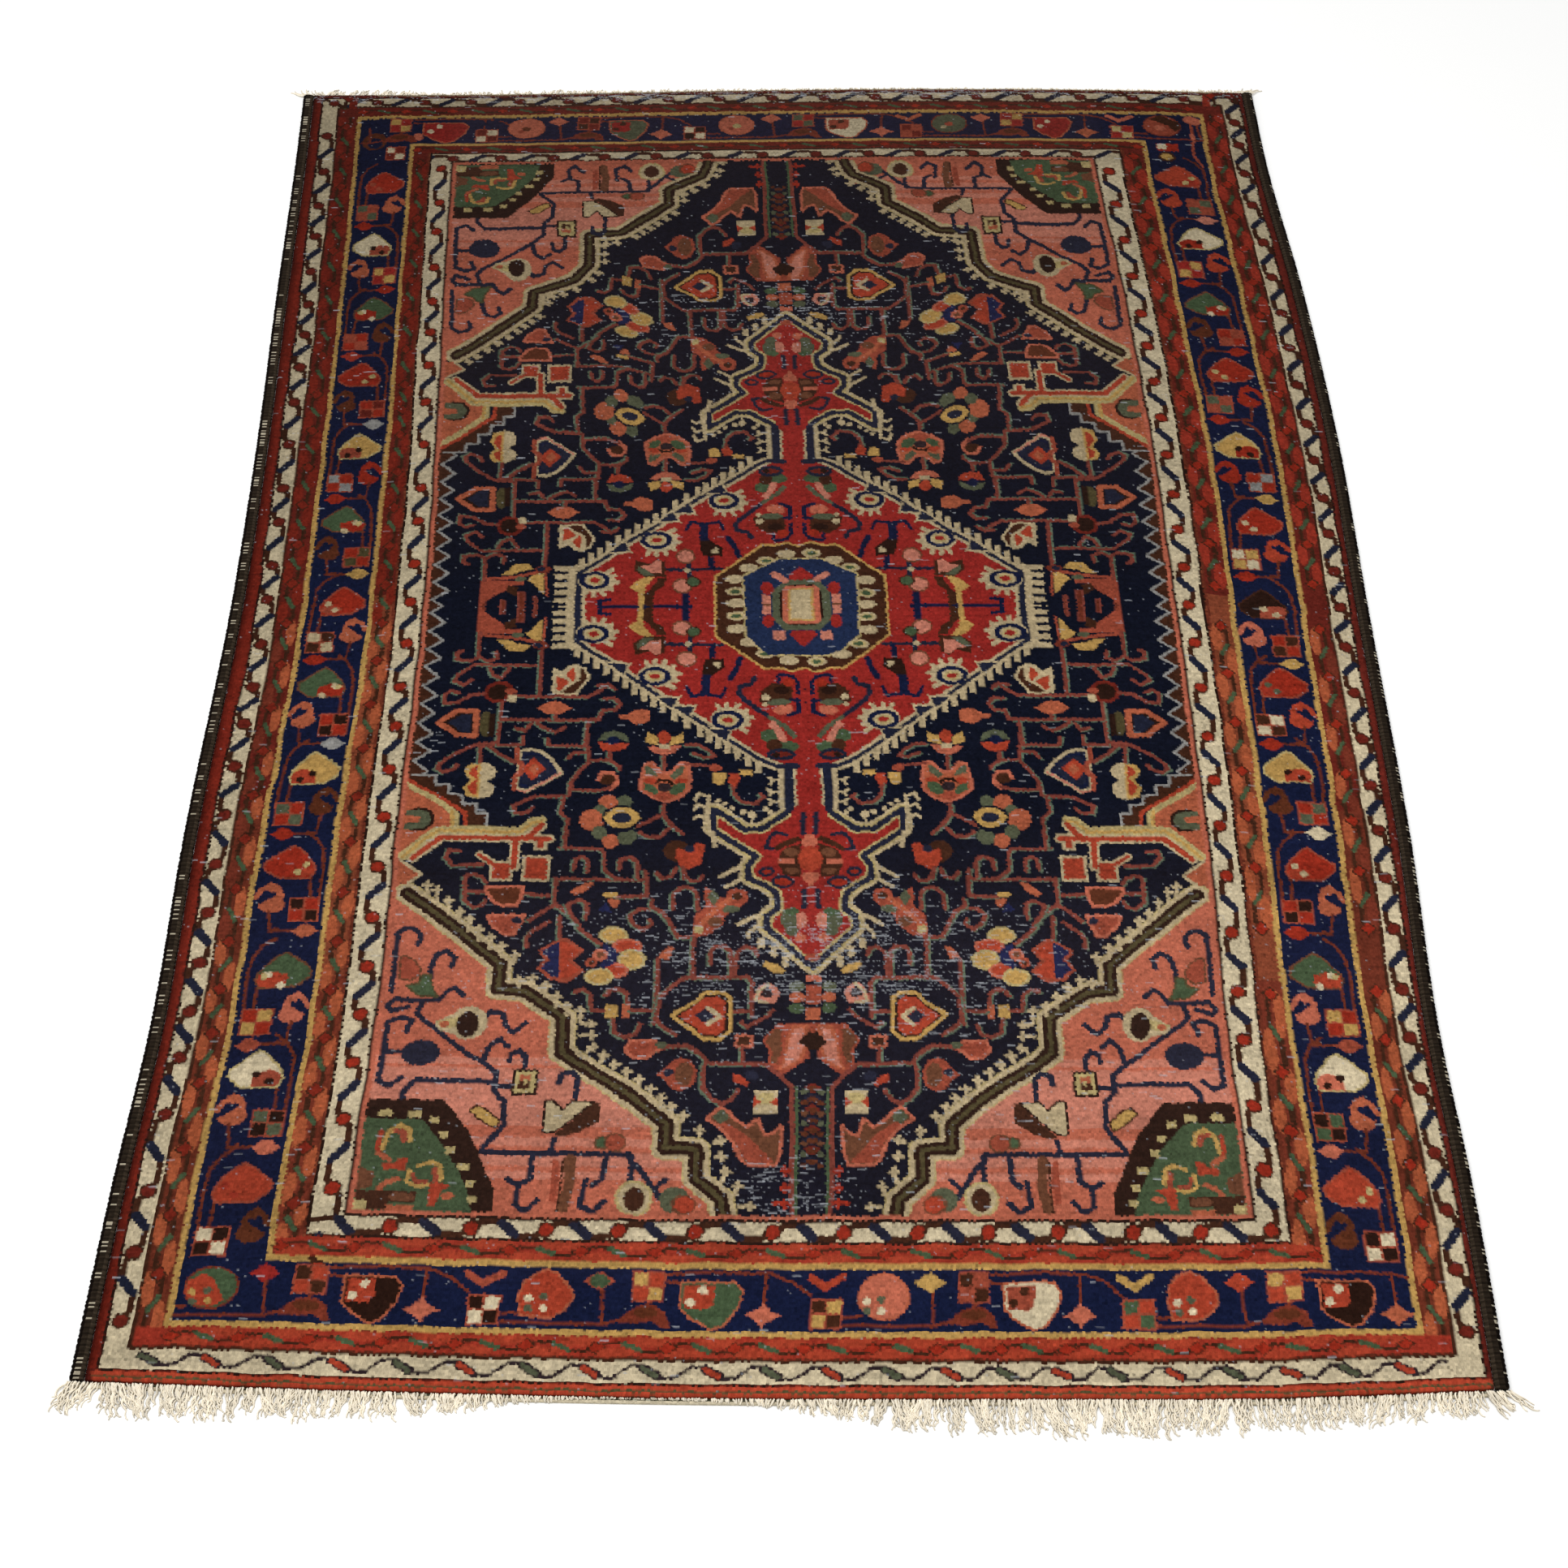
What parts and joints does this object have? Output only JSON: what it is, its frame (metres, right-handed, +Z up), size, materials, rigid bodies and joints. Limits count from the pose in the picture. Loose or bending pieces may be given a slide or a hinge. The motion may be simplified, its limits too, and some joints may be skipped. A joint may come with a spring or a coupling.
{
  "type": "persian rug",
  "caption": "Hand-knotted wool rug with a hexagon medallion, flowered borders, dark overcast sides and a short cotton fringe at both ends, lying flat.",
  "frame": {"origin": "on the floor, under the middle of the whole rug with its fringes", "axes": "+X across the rug, +Y along it, away from the viewer, +Z up out of the pile"},
  "size_m": [1.3632, 2.0637, 0.0078],
  "materials": {
    "knotted_wool": "cut wool pile, worn, in madder red, indigo, ivory, green and brown",
    "overcast_wool": "dark brown overcast wool",
    "cotton": "undyed cotton warp"
  },
  "bodies": {
    "root": {"knotted_cloth": "knotted_wool", "edge_cord_left": "overcast_wool", "edge_cord_right": "overcast_wool", "fringe_near": "cotton", "fringe_far": "cotton"}
  },
  "joints": []
}
